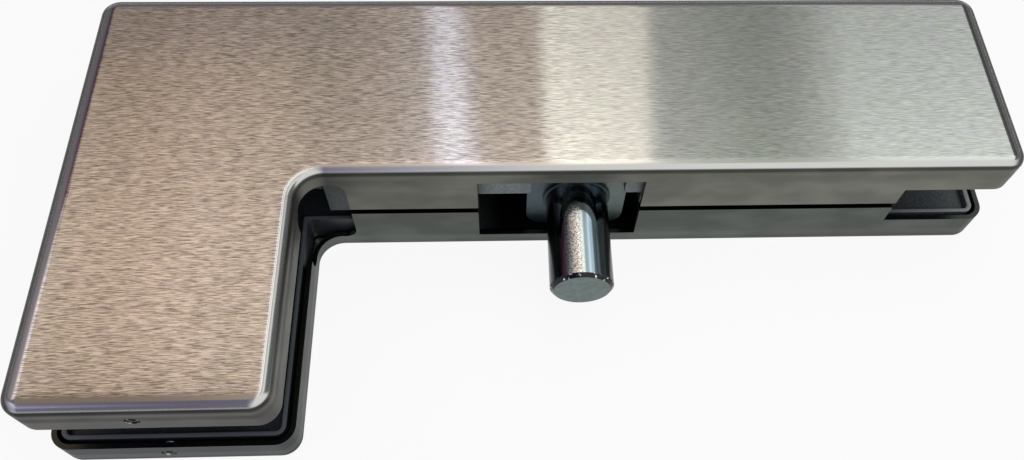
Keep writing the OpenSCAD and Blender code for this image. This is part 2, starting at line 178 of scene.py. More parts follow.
def flat_in_light(piece):
    """Smooths the rounds of a piece and keeps its large faces flat in the light."""
    smooth(piece, ROUND_ANGLE)
    weighted = piece.modifiers.new("flat faces", "WEIGHTED_NORMAL")
    weighted.keep_sharp = True
    apply_all(piece)


def soften_edges(piece, width):
    """Breaks the sharp edges of a piece, as a deburring wheel does."""
    bevel = piece.modifiers.new("broken edges", "BEVEL")
    bevel.width = width
    bevel.segments = BREAK_STEPS
    bevel.limit_method = "ANGLE"
    bevel.angle_limit = math.radians(SHARP_ANGLE)
    bevel.use_clamp_overlap = True
    bevel.miter_outer = "MITER_ARC"
    apply_all(piece)


def box_piece(name, low, high):
    low, high = Vector(low), Vector(high)
    bpy.ops.mesh.primitive_cube_add(size=1, location=(low + high) / 2, scale=high - low)
    return settle(bpy.context.object, name)


def cut(piece, cutter):
    """Takes a cutter's shape out of a piece, then throws the cutter away."""
    boolean = piece.modifiers.new("cut", "BOOLEAN")
    boolean.operation = "DIFFERENCE"
    boolean.solver = "EXACT"
    boolean.object = cutter
    apply_all(piece)
    bpy.data.objects.remove(cutter)


print("edges sharper than", SHARP_ANGLE, "degrees are broken")

# %% [markdown]
# ## The covers
#
# Each cover is pressed from one sheet: a flat L with its edge rolled over into short walls. A modeller could
# push a solid block into shape and hollow it, but a press starts from the flat outline, and so does this
# cell: draw the L, round its corners, pull the walls down, round the rim, and give the sheet its thickness
# last.

# %% The outline of the L
CORNER_STEPS = 12
ROUND_STEPS = 8
DEEP_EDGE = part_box("front_cover")[0].z


def is_corner(vertex, inner):
    """The inner corner is the only one at the crossing of the leg's side and the arm's near side."""
    at_inner = abs(vertex.co.x - SIDE_X) < TOUCH and abs(vertex.co.y - NEAR_Y) < TOUCH
    x_end = min(abs(vertex.co.x - x) for x in (LOW.x, SIDE_X, HIGH.x)) < TOUCH
    y_end = min(abs(vertex.co.y - y) for y in (LOW.y, NEAR_Y, HIGH.y)) < TOUCH
    return at_inner if inner else x_end and y_end and not at_inner


def flat_l(name, z):
    """A flat L with round corners, drawn at height z from the square where the leg and the arm cross."""
    low, high = Vector((LOW.x, NEAR_Y, z)), Vector((SIDE_X, HIGH.y, z))
    bpy.ops.mesh.primitive_plane_add(size=1, location=(low + high) / 2)
    piece = bpy.context.object
    piece.scale = (LEG_WIDTH, ARM_WIDTH, 1)
    settle(piece, name)

    edit(piece, "EDGE")
    pick_parts(piece, "EDGE", lambda e: all(abs(v.co.x - SIDE_X) < TOUCH for v in e.verts))
    bpy.ops.mesh.extrude_region_move(TRANSFORM_OT_translate={"value": (HIGH.x - SIDE_X, 0, 0)})
    pick_parts(piece, "EDGE", lambda e: all(abs(v.co.y - NEAR_Y) < TOUCH and v.co.x < SIDE_X + TOUCH
                                            for v in e.verts))
    bpy.ops.mesh.extrude_region_move(TRANSFORM_OT_translate={"value": (0, LOW.y - NEAR_Y, 0)})
    bpy.ops.mesh.select_all(action="SELECT")
    bpy.ops.mesh.dissolve_limited(angle_limit=SAME_PLANE)

    bpy.ops.mesh.select_mode(type="VERT")
    for radius, inner in ((OUTER_CORNER, False), (INNER_CORNER, True)):
        pick_parts(piece, "VERT", lambda v: len(v.link_edges) == 2 and is_corner(v, inner))
        bpy.ops.mesh.bevel(offset=radius, segments=CORNER_STEPS, affect="VERTICES", clamp_overlap=False)
    leave_edit()
    return piece


cover = flat_l("front_shell", HIGH.z)
print("outline points:", len(cover.data.vertices))

# %% Walls, rim and thickness
edit(cover)
bpy.ops.mesh.select_all(action="SELECT")
bpy.ops.mesh.extrude_region_move(TRANSFORM_OT_translate={"value": (0, 0, DEEP_EDGE - HIGH.z)})
bpy.ops.mesh.select_all(action="SELECT")
bpy.ops.mesh.normals_make_consistent(inside=False)
pick_parts(cover, "FACE", lambda f: f.normal.z < -0.9)
bpy.ops.mesh.delete(type="ONLY_FACE")
bpy.ops.mesh.select_mode(type="EDGE")
pick_parts(cover, "EDGE", lambda e: all(abs(v.co.z - HIGH.z) < TOUCH for v in e.verts))
bpy.ops.mesh.bevel(offset=EDGE_ROUND, segments=ROUND_STEPS, profile=0.5, affect="EDGES", clamp_overlap=False)
leave_edit()

solidify = cover.modifiers.new("sheet", "SOLIDIFY")
solidify.thickness = SHEET
solidify.offset = -1
solidify.use_even_offset = True
apply_all(cover)
print("shell faces:", len(cover.data.polygons))

# %% [markdown]
# The walls are not all as deep. Only the arm's near wall goes down to the middle plane. A relief notch opens
# the inner corner, a window opens in front of the pivot, and two small holes take the screws that hold the
# cover. Each opening is cut by a solid that reaches a little past the wall.

# %% Openings in the walls
WALL_HEIGHT = 10 * MM
WINDOW_EDGE = 5.2 * MM
SHALLOW_EDGE = HIGH.z - WALL_HEIGHT
WINDOW_TOP = HIGH.z - WINDOW_EDGE
RELIEF = 9.7 * MM
RELIEF_ROUND = 3 * MM
RELIEF_STEPS = 6
OPEN_END = 26 * MM
PAST = 1 * MM          # how far a cutter reaches past what it cuts
WALL_CLEAR = 0.1 * MM  # how far it stays from a wall that it leaves
WINDOW_LEFT = LOW.x + 93.4 * MM
WINDOW_RIGHT = LOW.x + 132.8 * MM

shallow_cuts = [
    ((LOW.x - PAST, NEAR_Y + SHEET + WALL_CLEAR), (HIGH.x + PAST, HIGH.y + PAST)),
    ((LOW.x - PAST, LOW.y - PAST), (SIDE_X + PAST, HIGH.y + PAST)),
    ((HIGH.x - OPEN_END, LOW.y - PAST), (HIGH.x + PAST, HIGH.y + PAST)),
]
for low, high in shallow_cuts:
    cut(cover, box_piece("cutter", (*low, DEEP_EDGE - PAST), (*high, SHALLOW_EDGE)))

notch = box_piece("cutter",
                  (SIDE_X - SHEET - PAST, NEAR_Y - RELIEF, DEEP_EDGE - PAST),
                  (SIDE_X + RELIEF, NEAR_Y + SHEET + PAST, WINDOW_TOP))
edit(notch, "EDGE")
pick_parts(notch, "EDGE", lambda e: all(v.co.z > WINDOW_TOP - TOUCH for v in e.verts)
           and (all(v.co.x > SIDE_X + RELIEF - TOUCH for v in e.verts)
                or all(v.co.y < NEAR_Y - RELIEF + TOUCH for v in e.verts)))
bpy.ops.mesh.bevel(offset=RELIEF_ROUND, segments=RELIEF_STEPS, affect="EDGES")
leave_edit()
cut(cover, notch)

cut(cover, box_piece("cutter",
                     (WINDOW_LEFT, NEAR_Y - PAST, DEEP_EDGE - PAST),
                     (WINDOW_RIGHT, NEAR_Y + SHEET + PAST, WINDOW_TOP)))
print("window in mm:", round((WINDOW_RIGHT - WINDOW_LEFT) / MM, 1), "faces:", len(cover.data.polygons))

# %% Holes for the cover screws
screw_low, screw_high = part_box("front_cover_screws")
SCREW_RADIUS = (screw_high.z - screw_low.z) / 2
SCREW_GAP = 0.1 * MM
HOLE_STEPS = 32
leg_screw = Vector((screw_low.x + SCREW_RADIUS, LOW.y, (screw_low.z + screw_high.z) / 2))
arm_screw = Vector((HIGH.x, screw_high.y - SCREW_RADIUS, leg_screw.z))
for place, turn in ((leg_screw, (math.pi / 2, 0, 0)), (arm_screw, (0, math.pi / 2, 0))):
    bpy.ops.mesh.primitive_cylinder_add(vertices=HOLE_STEPS, radius=SCREW_RADIUS + SCREW_GAP, depth=4 * SHEET,
                                        location=place, rotation=turn)
    cut(cover, settle(bpy.context.object, "cutter"))
print("screw holes in mm:", round(2 * (SCREW_RADIUS + SCREW_GAP) / MM, 2))

# %% [markdown]
# No edge of a pressed sheet is left as sharp as a knife. The rear cover is the front one's mirror image, so
# it is a copy turned over the middle plane, whose normals are flipped to point outwards again.

# %% Broken edges, and the mirror image for the rear
def mirrored(piece, name):
    """A copy with its own mesh, turned over the middle plane."""
    copy = piece.copy()
    copy.data = piece.data.copy()
    bpy.context.collection.objects.link(copy)
    edit(copy)
    bpy.ops.mesh.select_all(action="SELECT")
    bpy.ops.transform.resize(value=(1, 1, -1), center_override=MIDDLE)
    bpy.ops.mesh.flip_normals()
    leave_edit()
    return settle(copy, name)


SHEET_BREAK = 0.18 * MM
soften_edges(cover, SHEET_BREAK)
rear_shell = mirrored(cover, "rear_shell")
for piece in (cover, rear_shell):
    flat_in_light(piece)
print("cover faces:", len(cover.data.polygons))
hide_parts("front_cover")
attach(cover, "front_half")
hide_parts("rear_cover")
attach(rear_shell, "rear_half")

# %% [markdown]
# ## The pivot pin
#
# The pin is turned from bar: a shank that the carrier holds, a thin collar, and the chromed bearing length
# with a small chamfer. A lathe works along an axis, and so does this cell: it starts from one disc and
# extrudes it step by step along the axis, changing the radius where the tool would.

# %% Turn the pin
TURNED_STEPS = 128
PIN_RADIUS = 7.5 * MM
COLLAR_RADIUS = 8.2 * MM
SHANK_RADIUS = 6 * MM
COLLAR_LENGTH = 0.8 * MM
PIN_CHAMFER = 0.9 * MM
PIN_BREAK = 0.1 * MM

pin_low, pin_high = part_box("pivot_pin")
pin_axis = (pin_low + pin_high) / 2
face_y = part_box("pivot_carrier")[0].y


def turned(name, centre, direction, profile, steps=TURNED_STEPS):
    """A closed turned piece along an axis. The profile lists (distance from the start, radius)."""
    turn = direction.to_track_quat("Z", "Y").to_euler()
    bpy.ops.mesh.primitive_circle_add(vertices=steps, radius=profile[0][1], fill_type="NGON",
                                      location=centre + direction * profile[0][0], rotation=turn)
    piece = settle(bpy.context.object, name)
    edit(piece)
    bpy.ops.mesh.select_all(action="SELECT")
    for (start, radius), (end, next_radius) in zip(profile, profile[1:]):
        bpy.ops.mesh.extrude_region_move(TRANSFORM_OT_translate={"value": direction * (end - start)})
        bpy.ops.transform.resize(value=(next_radius / radius,) * 3, center_override=centre + direction * end)
    bpy.ops.mesh.select_all(action="SELECT")
    bpy.ops.mesh.normals_make_consistent(inside=False)
    leave_edit()
    return piece


shank_end = pin_high.y - face_y
pin_length = face_y - pin_low.y
pin = turned("turned_pin", Vector((pin_axis.x, face_y, pin_axis.z)), Vector((0, -1, 0)), [
    (-shank_end, SHANK_RADIUS),
    (0, SHANK_RADIUS),
    (0, COLLAR_RADIUS),
    (COLLAR_LENGTH, COLLAR_RADIUS),
    (COLLAR_LENGTH, PIN_RADIUS),
    (pin_length - PIN_CHAMFER, PIN_RADIUS),
    (pin_length, PIN_RADIUS - PIN_CHAMFER),
])
soften_edges(pin, PIN_BREAK)
flat_in_light(pin)
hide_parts("pivot_pin")
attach(pin, "pivot")
print("pin length in mm:", round(pin_length / MM, 1), "faces:", len(pin.data.polygons))

# %% [markdown]
# ## Cast and moulded pieces
#
# The bodies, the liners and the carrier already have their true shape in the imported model. What the eye still
# misses is the small round that every casting and moulding has along its edges, because it is that round
# that catches the light. A copy of each mesh is merged, cleaned of its triangles and bevelled.

# %% Copies with soft edges
LIP_HEIGHT = 7 * MM
LIP_SLOPE = 0.6 * MM
LIP_WALL = (1 * MM, 3 * MM)


def is_lip_edge(edge):
    """The lip's top edge on the side of the liner's floor, where the wall below is low."""
    if any(abs(abs(v.co.z - MIDDLE.z) - LIP_HEIGHT) > 10 * TOUCH for v in edge.verts):
        return False
    walls = [face for face in edge.link_faces if abs(face.normal.z) < 0.1]
    heights = [max(v.co.z for v in face.verts) - min(v.co.z for v in face.verts) for face in walls]
    return len(heights) == 1 and LIP_WALL[0] < heights[0] < LIP_WALL[1]


def slope_lips(piece):
    """Slopes the inner half of a liner's lip, so that only its outer edge presses on the glass."""
    edit(piece, "EDGE")
    pick_parts(piece, "EDGE", is_lip_edge)
    bpy.ops.mesh.bevel(offset=LIP_SLOPE, segments=2, affect="EDGES", clamp_overlap=True)
    leave_edit()
    print(piece.name, "with sloped lips, vertices:", len(piece.data.vertices))


def softened(node, name, width):
    """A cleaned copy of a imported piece, with its sharp edges rounded."""
    source = frame["nodes"][node]
    copy = source.copy()
    copy.data = source.data.copy()
    copy.parent = None
    bpy.context.collection.objects.link(copy)
    for key in list(copy.keys()):
        del copy[key]
    edit(copy)
    bpy.ops.mesh.select_all(action="SELECT")
    bpy.ops.mesh.customdata_custom_splitnormals_clear()
    bpy.ops.mesh.remove_doubles(threshold=2 * TOUCH)
    bpy.ops.mesh.dissolve_limited(angle_limit=SAME_PLANE)
    leave_edit()
    copy.data.materials.clear()
    settle(copy, name)
    if "liner" in node:
        slope_lips(copy)
    soften_edges(copy, width)
    flat_in_light(copy)
    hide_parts(node)
    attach(copy, source["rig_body"])
    return copy


soft_edges = {
    "pivot_carrier": ("cast_carrier", 0.5 * MM),
    "rear_liner": ("rear_tray", 0.25 * MM),
    "front_liner": ("front_tray", 0.25 * MM),
    "rear_body": ("rear_casting", 0.3 * MM),
    "front_body": ("front_casting", 0.3 * MM),
}
soft = {node: softened(node, name, width) for node, (name, width) in soft_edges.items()}
print({piece.name: len(piece.data.polygons) for piece in soft.values()})

# %% [markdown]
# ## The cover screws
#
# Two small headless screws in each half back out of the casting into holes in the cover. Their thread shows
# in the gap. A true helix is open at both ends, while a row of rings stays one closed mesh, and at half a
# millimetre of pitch the eye can't tell them apart, so the rings are turned like the pin.

# %% Turn the cover screws
PITCH = 0.5 * MM
THREAD_DEPTH = 0.27 * MM
THREAD_STEPS = 32
THREAD_ANGLE = 25
SCREW_LENGTH = 8 * MM
PASS_GAP = 0.3 * MM


def threaded(name, start, direction, radius, length):
    """A screw with one crest per pitch, and a root halfway to the next crest."""
    turns = int(length / PITCH) - 1
    root = radius - THREAD_DEPTH
    profile = [(0, root)]
    for turn in range(turns):
        profile.append(((turn + 0.75) * PITCH, radius))
        profile.append(((turn + 1.25) * PITCH, root))
    profile.append((length, root))
    return turned(name, start, direction, profile, THREAD_STEPS)


def socket(piece, face, direction, flats, depth):
    """Sinks a hexagon socket into the end of a screw."""
    turn = direction.to_track_quat("Z", "Y").to_euler()
    bpy.ops.mesh.primitive_cylinder_add(vertices=6, radius=flats / math.sqrt(3), depth=2 * depth,
                                        location=face, rotation=turn)
    cut(piece, settle(bpy.context.object, "cutter"))


def cover_screws(name, z):
    pieces = []
    for place, out in ((Vector((leg_screw.x, LOW.y, z)), Vector((0, -1, 0))),
                       (Vector((HIGH.x, arm_screw.y, z)), Vector((1, 0, 0)))):
        face = place - out * PASS_GAP
        screw = threaded("screw", face - out * SCREW_LENGTH, out, SCREW_RADIUS, SCREW_LENGTH)
        socket(screw, face, out, SCREW_RADIUS, SCREW_RADIUS)
        pieces.append(screw)
    pick_only(pieces[0])
    pieces[1].select_set(True)
    bpy.ops.object.join()
    piece = settle(pieces[0], name)
    smooth(piece, THREAD_ANGLE)
    return piece


for name, node, body in (("rear_threads", "rear_cover_screws", "rear_half"),
                         ("front_threads", "front_cover_screws", "front_half")):
    low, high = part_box(node)
    piece = cover_screws(name, (low.z + high.z) / 2)
    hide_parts(node)
    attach(piece, body)
    print(name, "faces:", len(piece.data.polygons))

# %% [markdown]
# ## Writing materials as sums
#
# A material is a net of nodes, and most of the net is arithmetic. Wrapping a socket in a small class lets
# that arithmetic be written as it is thought: 1 - mask, grain * 0.3 + 0.2. Each sum adds the Math node that
# it stands for.

# %% A wrapped socket
class Wire:
    """An output socket that can be added, multiplied and compared like a number."""

    def __init__(self, paint, socket):
        self.paint = paint
        self.socket = socket

    def maths(self, operation, *values):
        return self.paint.node("ShaderNodeMath", {"operation": operation}, dict(enumerate(values)))

    def __add__(self, other):
        return self.maths("ADD", self, other)

    __radd__ = __add__

    def __mul__(self, other):
        return self.maths("MULTIPLY", self, other)

    __rmul__ = __mul__

    def __sub__(self, other):
        return self.maths("SUBTRACT", self, other)

    def __rsub__(self, other):
        return self.maths("SUBTRACT", other, self)

    def __truediv__(self, other):
        return self.maths("DIVIDE", self, other)

    def __pow__(self, other):
        return self.maths("POWER", self, other)

    def __abs__(self):
        return self.maths("ABSOLUTE", self)

    def step(self, low, high):
        """Rises smoothly from 0 at low to 1 at high."""
        return self.paint.node("ShaderNodeMapRange", {"interpolation_type": "SMOOTHSTEP"},
                               {"Value": self, "From Min": low, "From Max": high})

    def at_least(self, floor):
        return self.maths("MAXIMUM", self, floor)

    def at_most(self, ceiling):
        return self.maths("MINIMUM", self, ceiling)


print("wires ready")

# %% A material maker
class Paint:
    """One material, with a Principled surface and a short way to add nodes."""

    def __init__(self, name, **constants):
        self.material = bpy.data.materials.new(name)
        self.material.use_nodes = True
        self.tree = self.material.node_tree
        self.surface = self.tree.nodes["Principled BSDF"]
        for socket, value in constants.items():
            self.surface.inputs[socket.replace("_", " ")].default_value = value

    def node(self, kind, settings=None, inputs=None, output=0):
        """Adds a node: its settings first, then the values or wires of its sockets."""
        node = self.tree.nodes.new(kind)
        for key, value in (settings or {}).items():
            if key == "stops":
                self.set_stops(node.color_ramp, value)
            else:
                setattr(node, key, value)
        for key, value in (inputs or {}).items():
            if isinstance(value, Wire):
                self.tree.links.new(value.socket, node.inputs[key])
            else:
                node.inputs[key].default_value = value
        return Wire(self, node.outputs[output])

    def set_stops(self, ramp, stops):
        while len(ramp.elements) < len(stops):
            ramp.elements.new(1)
        for element, (position, colour) in zip(ramp.elements, stops):
            element.position = position
            element.color = (*colour, 1)

    def place(self, scale):
        """Object coordinates, scaled so that one unit is one cell of a pattern."""
        coordinates = self.node("ShaderNodeTexCoord", output="Object")
        return self.node("ShaderNodeMapping", {}, {"Vector": coordinates, "Scale": scale})

    def noise(self, cell, detail, roughness):
        """Noise whose cells have a size in metres along X, Y and Z."""
        cells = self.place([1 / size for size in cell])
        return self.node("ShaderNodeTexNoise", {}, {"Vector": cells, "Scale": 1.0, "Detail": detail,
                                                    "Roughness": roughness})

    def axis(self, output, name):
        """One component of a texture coordinate, such as the height in Object coordinates."""
        vector = self.node("ShaderNodeTexCoord", output=output)
        return self.node("ShaderNodeSeparateXYZ", {}, {0: vector}, output=name)

    def blend(self, factor, first, second):
        """Mixes two colours."""
        def colour(value):
            return value if isinstance(value, Wire) else (*value, 1)
        return self.node("ShaderNodeMix", {"data_type": "RGBA"},
                         {0: factor, 6: colour(first), 7: colour(second)}, output=2)

    def ramp(self, value, span, stops):
        """Tones along a value. Each stop is a place on that value with a colour or a level of grey."""
        start, end = span
        stops = [((at - start) / (end - start), tone if isinstance(tone, tuple) else (tone,) * 3)
                 for at, tone in stops]
        return self.node("ShaderNodeValToRGB", {"stops": stops}, {"Fac": (value - start) / (end - start)})

    def tint(self, colour, by):
        """Multiplies two colours, as a coloured film does."""
        return self.node("ShaderNodeMix", {"data_type": "RGBA", "blend_type": "MULTIPLY"},
                         {0: 1.0, 6: colour, 7: by}, output=2)

    def feed(self, **wires):
        for socket, wire in wires.items():
            self.tree.links.new(wire.socket, self.surface.inputs[socket.replace("_", " ")])

    def relief(self, height, depth, strength=1.0):
        """Turns a height from 0 to 1 into a bump of that depth in metres."""
        self.feed(Normal=self.node("ShaderNodeBump", {}, {"Height": height, "Distance": depth,
                                                          "Strength": strength}))

    def coat(self, *pieces):
        """Puts the material on pieces, in place of what they had."""
        for piece in pieces:
            if not piece.material_slots:
                piece.data.materials.append(self.material)
            for slot in piece.material_slots:
                slot.material = self.material


print("material maker ready")

# %% [markdown]
# ## Satin stainless steel
#
# The covers are ground with a belt that runs along the arm, so the grain is thousands of fine scratches, a
# few millimetres long and a tenth of a millimetre wide. The belt reaches the face and rolls a little way over
# the near round and the leg's inner round, but the walls and the other rounds keep the dull, dark skin that
# the press left. Where a round turns away, its dark tone is partly that skin and partly painted shade. A map
# drawn by hand could mark the zones, but the surface's own normal tells them apart wherever the piece is, and
# its height finds the cut edges.

# %% Where the belt reaches
BELT_TURNED_AWAY = (0.04, 0.44)
BELT_TOO_STEEP = (0.70, 0.84)
BELT_END = (HIGH.x - 12 * MM, HIGH.x - 10 * MM)


def belt_ground(paint, up, near, side, outer):
    """1 on the ground face and where the belt rolls over a near round or the leg's inner round."""
    # The rounds that this leaves out get the dark skin, which there is partly painted shade.
    at_arm_end = paint.axis("Object", "X").step(*BELT_END)
    turned_away = (side * -1).at_least(near * -1).at_least(side * at_arm_end)
    steepness = (1 - up * up).at_least(0.0) ** 0.5
    return (1 - turned_away.step(*BELT_TURNED_AWAY)) * (1 - steepness.step(*BELT_TOO_STEEP)) * outer


print("steepest ground slope in degrees:", round(math.degrees(math.asin(BELT_TOO_STEEP[1]))))

# %% [markdown]
# A soft belt also wears the face down a little towards its edges. This crown is too shallow to show as a
# shape, but it bends what the edges mirror. Moving the face's points would take a dense mesh, so the crown is
# a bump whose height is worked out in metres. The grain thins out where the crown begins, and the crown
# itself is a little duller than the flat.

# %% The crown of the face
# How far each edge's crown reaches into the face, and how steeply it ends at the round.
LEFT_CROWN = (2.0 * MM, 0.28)
RIGHT_CROWN = (1.5 * MM, 0.30)
LEG_END_CROWN = (2.0 * MM, 0.20)
FAR_CROWN = (1.5 * MM, 0.30)
INNER_CROWN = (1.0 * MM, 0.15)


def crowned(inside, width, slope):
    """The height lost towards an edge, as a negative number, at a distance inside the edge's round."""
    near_edge = (width - inside).at_least(0.0).at_most(width)
    return near_edge * near_edge * (-slope / (2 * width)) - (inside * -1).at_least(0.0) * slope


def crown(paint):
    """The height of the polished face in metres: 0 on the flat and negative towards its edges."""
    x, y = paint.axis("Object", "X"), paint.axis("Object", "Y")
    leg_side = (SIDE_X + INNER_CORNER - x).at_least(0.0)
    arm_side = (y - (NEAR_Y - INNER_CORNER)).at_least(0.0)
    inner = (leg_side * leg_side + arm_side * arm_side) ** 0.5 - (INNER_CORNER + EDGE_ROUND)
    return (crowned(x - (LOW.x + EDGE_ROUND), *LEFT_CROWN)
            + crowned(HIGH.x - EDGE_ROUND - x, *RIGHT_CROWN)
            + crowned(y - (LOW.y + EDGE_ROUND), *LEG_END_CROWN)
            + crowned(HIGH.y - EDGE_ROUND - y, *FAR_CROWN)
            + crowned(inner, *INNER_CROWN))


print("crown at the left round, in mm:", LEFT_CROWN[0] * LEFT_CROWN[1] / 2 / MM)

# %% [markdown]
# What the belt doesn't reach is cloudy. The simple room doesn't light every wall as a real one does, so each
# wall has a tint that makes up for it. That is painted shade, so it is only right for light like this room's.

# %% The pressed skin, with painted light and shade
PRESSED_DARK = (0.096, 0.098, 0.087)
PRESSED_LIGHT = (0.135, 0.134, 0.120)
SKIN_CLOUDS = (14 * MM, 9 * MM, 7 * MM)
# Tints of the walls and the rounds. They make up for light and shade that the simple room doesn't give.
NO_TINT = (1.0, 1.0, 1.0)
ARM_WALL_LEFT = (1.18, 1.18, 1.15)
ARM_WALL_RIGHT = (1.43, 1.43, 1.38)
LEG_END_WALL = (0.78, 0.75, 0.80)
REAR_ARM_WALL = (0.80, 0.90, 0.90)
REAR_LEG_WALL = (0.33, 0.38, 0.47)
REAR_OTHER_WALLS = (0.58, 0.66, 0.70)
FAR_ROUNDS = (0.74, 0.72, 0.72)
NEAR_ROUNDS = (0.46, 0.46, 0.46)
LEG_EDGE = (SIDE_X - 1 * MM, SIDE_X + 1 * MM)
SEAM = (MIDDLE.z - 1 * MM, MIDDLE.z + 1 * MM)


def pressed_skin_and_shade(paint, up, near):
    """The dull skin of walls and rounds, tinted per wall and per round with painted light and shade."""
    cloud = paint.noise(SKIN_CLOUDS, 2, 0.5).step(0.35, 0.7)
    on_leg = 1 - paint.axis("Object", "X").step(*LEG_EDGE)
    along = paint.axis("Object", "X").step(SIDE_X, HIGH.x)
    rear = 1 - paint.axis("Object", "Z").step(*SEAM)
    facing = near.step(0.2, 0.6)
    front_near = paint.blend(on_leg, paint.blend(along, ARM_WALL_LEFT, ARM_WALL_RIGHT), LEG_END_WALL)
    front_tone = paint.blend(facing, NO_TINT, front_near)
    rear_tone = paint.blend(facing, REAR_OTHER_WALLS, paint.blend(on_leg, REAR_ARM_WALL, REAR_LEG_WALL))
    rounds = paint.blend(near.step(0.3, 0.5), FAR_ROUNDS, NEAR_ROUNDS)
    pressed = paint.blend(cloud, PRESSED_DARK, PRESSED_LIGHT)
    skin = paint.tint(pressed, paint.blend(rear, front_tone, rear_tone))
    return paint.tint(skin, paint.blend(up.step(0.05, 0.35), NO_TINT, rounds))


print("the two halves meet at a height of", round(MIDDLE.z / MM, 1), "mm")

# %% [markdown]
# The finish puts the zones together: grain where the belt ran, strong on the leg and faint past the pivot,
# pressed skin elsewhere, a cut edge around the rim painted dark as painted shade, and small bright nicks
# beside it painted as glints.

# %% Brushed steel
STEEL_DARK = (0.30, 0.295, 0.285)
STEEL_LIGHT = (0.82, 0.815, 0.80)
MAUVE = (1.00, 0.975, 0.99)
OLIVE = (0.995, 1.00, 0.965)
# The cut edge's dark tone is painted shade, and the burrs' bright tone is a painted glint.
CUT_EDGE_SHADE = (0.055, 0.058, 0.052)
BURR_GLINT = (0.70, 0.69, 0.67)
GRAIN_CELL = (2.8 * MM, 0.09 * MM, 0.09 * MM)
GLINT_CELL = (4.0 * MM, 0.20 * MM, 0.20 * MM)
SCRATCH_CELL = (30 * MM, 0.30 * MM, 0.30 * MM)
PATCH_CELL = (5 * MM, 1.6 * MM, 5 * MM)
NICK_CELL = (1.3 * MM, 1.3 * MM, 1.3 * MM)
SCRATCH_DEPTH = 7e-6        # metres
LEG_GRAIN = 4.2             # contrast of the grain on the leg
ARM_GRAIN = 0.62            # contrast past the pivot
GRAIN_FADE = (SIDE_X - 10 * MM, SIDE_X + 78 * MM)
FLAT = (0.92, 0.995)
OUTER_SKIN = (11 * MM, 14 * MM)
# How far the crown has fallen where the scratches end, where the grain ends, and where it is all polish.
SCRATCH_FALL = 0.02 * MM
GRAIN_FALL = 0.08 * MM
POLISHED_FALL = 0.25 * MM


def brushed_steel():
    paint = Paint("satin stainless steel", Metallic=1.0)
    up = abs(paint.axis("Normal", "Z"))
    near = paint.axis("Normal", "Y") * -1
    side = paint.axis("Normal", "X")
    outer = abs(paint.axis("Object", "Z") - MIDDLE.z).step(*OUTER_SKIN)
    ground = belt_ground(paint, up, near, side, outer)
    rim = up.step(0.90, 0.97) * (1 - outer)
    fine = paint.noise(GRAIN_CELL, 1, 0.6).step(0.32, 0.68)
    glints = paint.noise(GLINT_CELL, 1, 0.5).step(0.58, 0.74)
    along = paint.axis("Object", "X").step(*GRAIN_FADE)
    height = crown(paint)
    fallen = height * -1
    flat = up.step(*FLAT)
    scratched = flat * (1 - fallen.step(0.0, SCRATCH_FALL))
    grained = flat * (1 - fallen.step(0.0, GRAIN_FALL))
    polished = fallen.step(0.0, POLISHED_FALL) * ground
    contrast = (LEG_GRAIN - along * (LEG_GRAIN - ARM_GRAIN)) * grained
    grain = (fine - 0.5 + glints * 0.35) * contrast + 0.5
    patches = paint.noise(PATCH_CELL, 2, 0.5).step(0.38, 0.62)
    face = paint.tint(paint.blend(grain, STEEL_DARK, STEEL_LIGHT), paint.blend(patches, MAUVE, OLIVE))
    skin = paint.blend(ground, pressed_skin_and_shade(paint, up, near), face)
    # Bright burrs beside the rim: painted glints.
    nicks = paint.noise(NICK_CELL, 2, 0.6).step(0.45, 0.60)
    burr_glint = up.step(0.30, 0.45) * (1 - up.step(0.88, 0.95)) * (1 - outer) * nicks
    shine = ground * 0.47 + rim * 0.25 + burr_glint * 0.30
    paint.feed(Base_Color=paint.blend(burr_glint, paint.blend(rim, skin, CUT_EDGE_SHADE), BURR_GLINT),
               Roughness=0.52 - shine + polished * 0.17 + grain * ground * 0.02)
    scratches = paint.noise(SCRATCH_CELL, 0, 0.5)
    paint.relief(scratches * scratched * SCRATCH_DEPTH + height * outer, 1.0)
    return paint


steel = brushed_steel()
steel.coat(cover, rear_shell)
print("steel nodes:", len(steel.tree.nodes))

# %% [markdown]
# ## Castings, mouldings and plated parts
#
# The bodies are aluminium die castings, left as they come from the die. The liners are moulded with a spark
# eroded grain, and their lips are painted paler, as a painted highlight. The carrier is a plated zinc
# casting, and the screws are plated steel with duller ends. Some tones also change along a piece, in steps
# along its Object coordinates. They are painted light and shade that the simple room doesn't give: beside
# the pivot the castings are lighter at the apron and darker behind it and below the seam, the liners are
# lighter towards the arm's end, and the carrier is darker and bluer on its left. So they are only right for
# light like this room's.

# %% Die castings
CAST_DARK = (0.058, 0.068, 0.068)
CAST_LIGHT = (0.092, 0.106, 0.108)
CAST_FLOW = (0.050, 0.056, 0.054)
APRON_PAINTED_LIGHT = (2.0, 2.0, 2.0)
INSIDE_PAINTED_SHADE = (0.03, 0.045, 0.06)
PIVOT_SIDES = (18 * MM, 26 * MM)
BEHIND_APRON = (NEAR_Y + 5 * MM, NEAR_Y + 8 * MM)
SKIN_DEPTH = 2e-5    # metres


